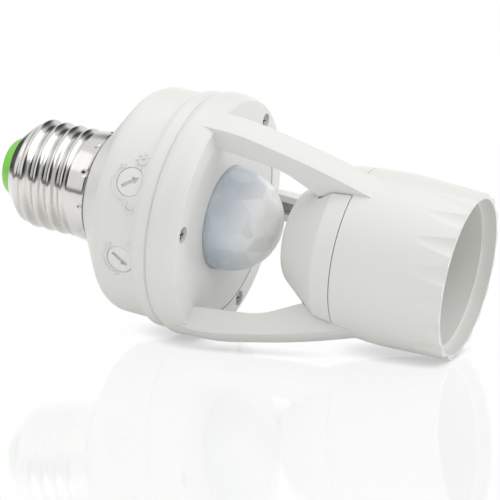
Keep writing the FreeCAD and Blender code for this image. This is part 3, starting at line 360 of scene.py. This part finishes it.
for name, colour, roughness, lines in (
        ("shell_nickel", (0.72, 0.71, 0.69), 0.13, 0.04),
        ("screw_steel", (0.60, 0.60, 0.58), 0.22, 0.08),
        ("rivet_steel", (0.56, 0.55, 0.53), 0.25, 0.08),
        ("contact_solder", (0.63, 0.62, 0.60), 0.30, 0.10),
        ("tongue_copper", (0.62, 0.40, 0.17), 0.20, 0.08),
        ("socket_metal", (0.76, 0.75, 0.73), 0.18, 0.06),
        ("sensor_can", (0.62, 0.60, 0.55), 0.20, 0.06)):
    finishes[name] = metal(name, colour, roughness, lines)
finishes["lens_milky"] = milky_lens()

slot_of = {row["node"]: row["material_slot"] for row in frame["record"]["subparts"]}
for name, node in nodes.items():
    node.data.materials.clear()
    node.data.materials.append(finishes[slot_of[name]])


# making pieces
def let_go():
    if bpy.context.object and bpy.context.object.mode == "EDIT":
        bpy.ops.object.mode_set(mode="OBJECT")
    bpy.ops.object.select_all(action="DESELECT")


def pick(*pieces):
    """Selects the pieces and makes the first one active."""
    let_go()
    for piece in pieces:
        piece.select_set(True)
    bpy.context.view_layer.objects.active = pieces[0]


def fix_place():
    bpy.ops.object.transform_apply(location=True, rotation=True, scale=True)


def settle(piece, name, slot, smooth, body="holder", stands_for=()):
    """Names a finished piece, gives it its finish and lets it ride."""
    pick(piece)
    fix_place()
    bpy.ops.object.shade_smooth_by_angle(angle=math.radians(smooth))
    piece.name = name
    piece.data.name = name
    piece.data.materials.clear()
    piece.data.materials.append(finishes[slot])
    if stands_for:
        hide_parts(*stands_for)
    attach(piece, body)
    let_go()


def lathe(corners, steps):
    """Turned surface from (radius, height) points, spun round the axis."""
    let_go()
    bpy.ops.mesh.primitive_plane_add(size=MM)
    piece = bpy.context.object
    bpy.ops.object.mode_set(mode="EDIT")
    bpy.ops.mesh.select_all(action="SELECT")
    bpy.ops.mesh.merge(type="CENTER")
    spots = [Vector((r, 0, z)) for r, z in corners]
    bpy.ops.transform.translate(value=spots[0])
    for last, spot in zip(spots, spots[1:]):
        bpy.ops.mesh.extrude_region_move(TRANSFORM_OT_translate={"value": spot - last})
    bpy.ops.mesh.select_all(action="SELECT")
    bpy.ops.mesh.spin(steps=steps, angle=2 * math.pi, center=(0, 0, 0), axis=(0, 0, 1))
    bpy.ops.mesh.select_all(action="SELECT")
    bpy.ops.mesh.remove_doubles(threshold=0.005 * MM)
    bpy.ops.mesh.normals_make_consistent(inside=False)
    bpy.ops.object.mode_set(mode="OBJECT")
    return piece


def fade(value, low, high):
    x = min(1.0, max(0.0, (value - low) / (high - low)))
    return x * x * (3 - 2 * x)


def thread_swell(height, angle):
    """Rolled right-hand thread: swell of the wall at one place, dying out at both ends."""
    turn = 2 * math.pi * ((height - SKIRT_TOP) / PITCH - THREAD_START) - angle
    rounded = math.cos(turn) - THREAD_FLATNESS * (math.cos(2 * turn) - 1)
    run_in = fade(height, THREAD_LOW, THREAD_LOW + THREAD_FADE)
    run_out = 1 - fade(height, THREAD_HIGH - THREAD_FADE, THREAD_HIGH)
    return THREAD_SWELL * rounded * run_in * run_out


def punch_dent(height, angle, r):
    """Depth of the round punch marks in the skirt at one place."""
    def away(k):
        turn = (angle - math.radians(PUNCH_FIRST + PUNCH_STEP * k) + math.pi) % (2 * math.pi) - math.pi
        return math.hypot(turn * r, height - PUNCH_HEIGHT) / PUNCH_R

    nearest = min(away(k) for k in range(PUNCH_COUNT))
    return PUNCH_DEPTH * math.exp(-PUNCH_SHARPNESS * nearest ** 2)


def make_plug_shell():
    """Shell from the groove at the cover over the tapered skirt and the thread to the nose."""
    rows = list(GROOVE)
    for i in range(1, SKIRT_ROWS):
        along = i / SKIRT_ROWS
        rows.append((SKIRT_R - SKIRT_TAPER * along ** SKIRT_CURVE, SKIRT_LOW + SKIRT_RUN * along))
    height = rows[-1][1] + THREAD_GAP
    while height < NOSE_LOW:
        rows.append((THREAD_ROOT, height))
        height += THREAD_ROW
    rows += NOSE
    piece = lathe([(r * MM, z * MM) for r, z in rows], SHELL_STEPS)
    for vertex in piece.data.vertices:
        x, y, z = vertex.co / MM
        r = math.hypot(x, y)
        angle = math.atan2(y, x)
        scale = (r + thread_swell(z, angle) - punch_dent(z, angle, r)) / r
        vertex.co.x *= scale
        vertex.co.y *= scale
    pick(piece)
    wall = piece.modifiers.new("sheet", "SOLIDIFY")
    wall.thickness = SHEET_WALL
    wall.offset = -1
    bpy.ops.object.modifier_apply(modifier="sheet")
    settle(piece, "plug_shell_threaded", "shell_nickel", 60, stands_for=("screw_shell",))


make_plug_shell()


def half_sphere(segments, rings, radius):
    """Half a sphere at the dome's place, in edit mode with its open rim selected."""
    let_go()
    bpy.ops.mesh.primitive_uv_sphere_add(segments=segments, ring_count=rings, radius=radius,
                                         location=(0, 0, DOME_CENTRE))
    fix_place()
    bpy.ops.object.mode_set(mode="EDIT")
    bpy.ops.mesh.select_all(action="SELECT")
    bpy.ops.mesh.bisect(plane_co=(0, 0, DOME_CENTRE), plane_no=(0, 0, 1), clear_outer=True, use_fill=False)
    bpy.ops.mesh.select_all(action="DESELECT")
    bpy.ops.mesh.select_mode(type="EDGE")
    bpy.ops.mesh.select_non_manifold(extend=False)
    return bpy.context.object


def make_dome():
    """Lens: smooth outside, rows of flat facets inside."""
    outer = half_sphere(96, 64, DOME_R)
    for out, up in DOME_FOOT:
        bpy.ops.mesh.extrude_edges_move(TRANSFORM_OT_translate={"value": (0, 0, up * MM)})
        ring = bmesh.from_edit_mesh(outer.data)
        here = next(v for v in ring.verts if v.select)
        r = math.hypot(here.co.x, here.co.y)
        grow = (r + out * MM) / r
        bpy.ops.transform.resize(value=(grow, grow, 1), center_override=(0, 0, here.co.z))
    inner = half_sphere(18, 14, DOME_INNER_R)
    bpy.ops.mesh.extrude_edges_move(TRANSFORM_OT_translate={"value": (0, 0, DOME_INNER_SKIRT)})
    bpy.ops.mesh.select_all(action="SELECT")
    bpy.ops.mesh.flip_normals()
    pick(outer, inner)
    bpy.ops.object.join()
    settle(outer, "lens_dome", "lens_milky", 14, stands_for=("dome_lens",))


make_dome()


# raised marks on the cover: spots in millimetres across and up its wall
def on_cover(across, height, azimuth):
    angle = math.radians(azimuth) + across / COVER_R
    r = COVER_R + MARK_LIFT
    return (r * math.cos(angle) * MM, r * math.sin(angle) * MM, height * MM)


def raised_line(spots, closed, azimuth, height, width):
    """One raised stroke along spots given from a place on the cover's wall."""
    let_go()
    curve = bpy.data.curves.new("stroke", "CURVE")
    curve.dimensions = "3D"
    curve.bevel_depth = width / 2 * MM
    curve.bevel_resolution = 3
    curve.use_fill_caps = True
    line = curve.splines.new("POLY")
    line.points.add(len(spots) - 1)
    for point, (across, up) in zip(line.points, spots):
        point.co = (*on_cover(across, height + up, azimuth), 1)
    line.use_cyclic_u = closed
    piece = bpy.data.objects.new("stroke", curve)
    bpy.context.scene.collection.objects.link(piece)
    pick(piece)
    bpy.ops.object.convert(target="MESH")
    return bpy.context.object


def on_arc(radius, degrees, across=0.0):
    return (across + radius * math.cos(math.radians(degrees)), radius * math.sin(math.radians(degrees)))


def arc_spots(radius, start, end, steps, across=0.0):
    return [on_arc(radius, start + (end - start) * i / steps, across) for i in range(steps + 1)]


def mark(name, strokes, azimuth, height, width=0.5):
    """Raised mark from strokes, each given as its spots and whether they close."""
    pieces = [raised_line(spots, closed, azimuth, height, width) for spots, closed in strokes]
    pick(*pieces)
    if len(pieces) > 1:
        bpy.ops.object.join()
    settle(bpy.context.object, name, "cover_white", 60)


sun = [(arc_spots(0.85, 0, 342, 19), True)]
sun += [([on_arc(1.35, 45 * k), on_arc(2.0, 45 * k)], False) for k in range(8)]
mark("mark_sun", sun, -59.3, 72.7)
moon = arc_spots(1.5, 60, 300, 24) + arc_spots(1.3, 270, 90, 18, 0.75)
mark("mark_moon", [(moon, True)], -81.6, 72.7, 0.45)
mark("mark_plus", [([(-1.0, 0), (1.0, 0)], False), ([(0, -1.0), (0, 1.0)], False)], -100.5, 71.5)
mark("mark_minus", [([(-0.9, 0), (0.9, 0)], False)], -119.0, 71.3)
for name, azimuth in (("lux", LUX_ANGLE), ("time", TIME_ANGLE)):
    strokes = [(arc_spots(TURN_ARC_R, TURN_ARC_START, TURN_ARC_END, 34), False)]
    for end, way in ((TURN_ARC_START, -1), (TURN_ARC_END, 1)):
        tip = on_arc(TURN_ARC_R, end)
        back = math.radians(end - 90 * way)
        barbs = []
        for turn in (back + BARB_SPREAD, back - BARB_SPREAD):
            barbs.append((tip[0] + BARB_LENGTH * math.cos(turn), tip[1] + BARB_LENGTH * math.sin(turn)))
        strokes.append(([barbs[0], tip, barbs[1]], False))
    mark(f"mark_{name}_turn", strokes, azimuth, KNOB_HEIGHT, 0.42)


def select_facing(piece, way):
    """Selects the faces that look up (way 1) or down (way -1)."""
    bpy.ops.mesh.select_all(action="DESELECT")
    mesh = bmesh.from_edit_mesh(piece.data)
    for face in mesh.faces:
        face.select_set(face.normal.z * way > 0.9)
    bmesh.update_edit_mesh(piece.data)


def make_knob(name, azimuth, arrow_turn):
    """Dial with a softened rim, an arrow sunk in its face and a shaft."""
    let_go()
    bpy.ops.mesh.primitive_cylinder_add(vertices=72, radius=KNOB_R, depth=KNOB_DISC,
                                        location=(0, 0, KNOB_FACE - KNOB_DISC / 2))
    dial = bpy.context.object
    fix_place()
    bpy.ops.object.mode_set(mode="EDIT")
    bpy.ops.mesh.select_mode(type="FACE")
    select_facing(dial, 1)
    bpy.ops.mesh.bevel(offset=KNOB_RIM, segments=4, affect="EDGES")
    select_facing(dial, -1)
    bpy.ops.mesh.inset(thickness=KNOB_R - KNOB_SHAFT_R)
    bpy.ops.mesh.extrude_region_move(TRANSFORM_OT_translate={"value": (0, 0, -KNOB_SHAFT)})

    let_go()
    bpy.ops.mesh.primitive_circle_add(vertices=len(ARROW_OUTLINE), radius=2 * MM, fill_type="NGON",
                                      location=(0, 0, KNOB_FACE - ARROW_DEPTH))
    arrow = bpy.context.object
    fix_place()
    turn = Matrix.Rotation(math.radians(arrow_turn), 2)
    for vertex, spot in zip(arrow.data.vertices, ARROW_OUTLINE):
        vertex.co.xy = turn @ Vector(spot) * MM
    bpy.ops.object.mode_set(mode="EDIT")
    bpy.ops.mesh.select_all(action="SELECT")
    bpy.ops.mesh.extrude_region_move(TRANSFORM_OT_translate={"value": (0, 0, 2 * MM)})
    bpy.ops.mesh.select_all(action="SELECT")
    bpy.ops.mesh.normals_make_consistent(inside=False)
    pick(dial)
    cut = dial.modifiers.new("arrow", "BOOLEAN")
    cut.operation = "DIFFERENCE"
    cut.object = arrow
    bpy.ops.object.modifier_apply(modifier="arrow")
    bpy.data.objects.remove(arrow)
    outward = math.radians(azimuth)
    way = Vector((math.cos(outward), math.sin(outward), 0))
    across = Vector((-math.sin(outward), math.cos(outward), 0))
    dial.matrix_world = Matrix((across, Vector((0, 0, 1)), way)).transposed().to_4x4()
    dial.location = (0, 0, KNOB_HEIGHT * MM)
    settle(dial, f"{name}_dial_face", "knob_white", 30, f"{name}_dial", (f"{name}_knob",))


make_knob("lux", LUX_ANGLE, -55)
make_knob("time", TIME_ANGLE, -125)


# stage: table, background, lamps and camera
def make_table():
    """White table: bright to the camera, with a faint reflection and tight contact shade."""
    let_go()
    bpy.ops.mesh.primitive_plane_add(size=TABLE_SIZE)
    table = bpy.context.object
    table.name = "table"
    table.matrix_world = Matrix((TABLE_RIGHT, TABLE_INTO, TABLE_UP)).transposed().to_4x4()
    table.location = TABLE_UP * TABLE_DROP
    finish = bpy.data.materials.new("table_white")
    finish.use_nodes = True
    tree = finish.node_tree
    tree.nodes.clear()
    link = tree.links.new
    path = add_node(tree, "ShaderNodeLightPath").outputs

    # what metal sees of the table ends a hand's breadth before the part and at its left
    parts = add_node(tree, "ShaderNodeSeparateXYZ")
    link(object_place(tree), parts.inputs[0])
    reach = combined(tree, "MINIMUM", sloped(tree, parts.outputs["Y"], *TABLE_FRONT, 0.0, 1.0),
                     sloped(tree, parts.outputs["X"], *TABLE_LEFT, 0.0, 1.0))
    far_dark = sloped(tree, reach, 0.0, 1.0, TABLE_PAST, TABLE_NEAR)
    grey = add_node(tree, "ShaderNodeCombineColor")
    for channel in range(3):
        link(far_dark, grey.inputs[channel])
    tone = add_node(tree, "ShaderNodeMix", {"A": (0.94, 0.94, 0.93, 1)}, data_type="RGBA")
    link(path["Is Glossy Ray"], tone.inputs["Factor"])
    link(grey.outputs[0], tone.inputs["B"])
    diffuse = add_node(tree, "ShaderNodeBsdfDiffuse")
    link(tone.outputs["Result"], diffuse.inputs["Color"])

    # the camera's own view of it
    near = add_node(tree, "ShaderNodeAmbientOcclusion", {"Distance": CONTACT_REACH}, samples=8)
    glow = add_node(tree, "ShaderNodeEmission", {"Color": (1, 1, 1, 1)})
    link(sloped(tree, near.outputs["AO"], 0.0, 0.8, CONTACT_SHADE, 1.0), glow.inputs["Strength"])
    bright = add_node(tree, "ShaderNodeBsdfDiffuse", {"Color": (1, 1, 1, 1)})
    polish = add_node(tree, "ShaderNodeBsdfGlossy", {"Roughness": 0.07, "Color": (1, 1, 1, 1)})
    matt = mixed(tree, TABLE_SHARE_LIT, glow.outputs[0], bright.outputs[0])
    shown = mixed(tree, TABLE_SHARE_MIRRORED, matt, polish.outputs[0])

    # light that passes up through it keeps the places where the part rests from going black
    gone = add_node(tree, "ShaderNodeBsdfTransparent").outputs[0]
    passed = sloped(tree, path["Is Diffuse Ray"], 0.0, 1.0, 0.0, TABLE_SHARE_PASSED)
    lit = mixed(tree, path["Is Camera Ray"], mixed(tree, passed, diffuse.outputs[0], gone), shown)
    side = add_node(tree, "ShaderNodeNewGeometry")
    out = add_node(tree, "ShaderNodeOutputMaterial")
    link(mixed(tree, side.outputs["Backfacing"], lit, gone), out.inputs["Surface"])
    table.data.materials.append(finish)
    let_go()


def make_background():
    """White to the camera, soft white light, and a studio with dark corners for mirror rays."""
    world = bpy.data.worlds.new("studio")
    bpy.context.scene.world = world
    world.use_nodes = True
    tree = world.node_tree
    tree.nodes.clear()
    link = tree.links.new
    path = add_node(tree, "ShaderNodeLightPath").outputs
    place = add_node(tree, "ShaderNodeTexCoord").outputs["Generated"]

    def along(direction):
        aim = add_node(tree, "ShaderNodeVectorMath", {1: direction.normalized()}, operation="DOT_PRODUCT")
        link(place, aim.inputs[0])
        return aim.outputs["Value"]

    def patch(azimuth, elevation, outer, inner, weight):
        """One where mirror rays see white, down to 1 - weight within an angle of the direction."""
        return sloped(tree, along(studio_way(azimuth, elevation)), math.cos(math.radians(outer)),
                      math.cos(math.radians(inner)), 1.0, 1.0 - weight)

    level = combined(tree, "MAXIMUM", sloped(tree, along(TABLE_UP), 0.0, 0.08, 0.30, 0.93),
                     sloped(tree, along(TABLE_INTO), 0.88, 0.96, 0.0, 1.0))
    for row in DARK_CORNERS:
        level = combined(tree, "MULTIPLY", level, patch(*row))
    soft = add_node(tree, "ShaderNodeBackground", {"Color": (1.0, 1.0, 0.985, 1), "Strength": SOFT_LEVEL})
    seen = add_node(tree, "ShaderNodeBackground", {"Color": (1, 1, 1, 1), "Strength": 1.0})
    mirror = add_node(tree, "ShaderNodeBackground", {"Color": (1, 1, 1, 1)})
    link(level, mirror.inputs["Strength"])
    white_rays = combined(tree, "MAXIMUM", path["Is Camera Ray"], path["Is Transmission Ray"])
    unseen = mixed(tree, path["Is Glossy Ray"], soft.outputs[0], mirror.outputs[0])
    out = add_node(tree, "ShaderNodeOutputWorld")
    link(mixed(tree, white_rays, unseen, seen.outputs[0]), out.inputs["Surface"])


def soft_box(name, azimuth, elevation, width, depth, level, mirrored=True):
    """Soft box that looks at the middle of the part; level is its brightness as seen."""
    light = bpy.data.lights.new(name, "AREA")
    light.shape = "RECTANGLE"
    light.size = width
    light.size_y = depth
    light.energy = level * math.pi * width * depth
    lamp = bpy.data.objects.new(name, light)
    bpy.context.scene.collection.objects.link(lamp)
    back = studio_way(azimuth, elevation)
    sideways = -back.cross(TABLE_UP).normalized()
    lamp.location = PART_MIDDLE + back * LAMP_DISTANCE
    lamp.rotation_euler = Matrix((sideways, back.cross(sideways), back)).transposed().to_euler()
    lamp.visible_glossy = mirrored


def make_camera():
    lens = bpy.data.cameras.new("photo_camera")
    lens.lens = CAMERA_LENS
    lens.sensor_width = CAMERA_SENSOR
    lens.clip_start = 0.01
    camera = bpy.data.objects.new("photo_camera", lens)
    bpy.context.scene.collection.objects.link(camera)
    turn = Matrix((CAMERA_RIGHT, CAMERA_UP, CAMERA_BACK)).transposed().to_4x4()
    camera.matrix_world = Matrix.Translation(CAMERA_SPOT) @ turn
    bpy.context.scene.camera = camera


make_table()
make_background()
soft_box("right_box", 120, 38, 0.85, 0.6, 1.35)
soft_box("left_box", -98, 47, 0.5, 0.4, 0.45)
soft_box("top_box", -20, 72, 0.7, 0.7, 1.0, mirrored=False)
make_camera()
bpy.context.scene.view_settings.view_transform = "Standard"
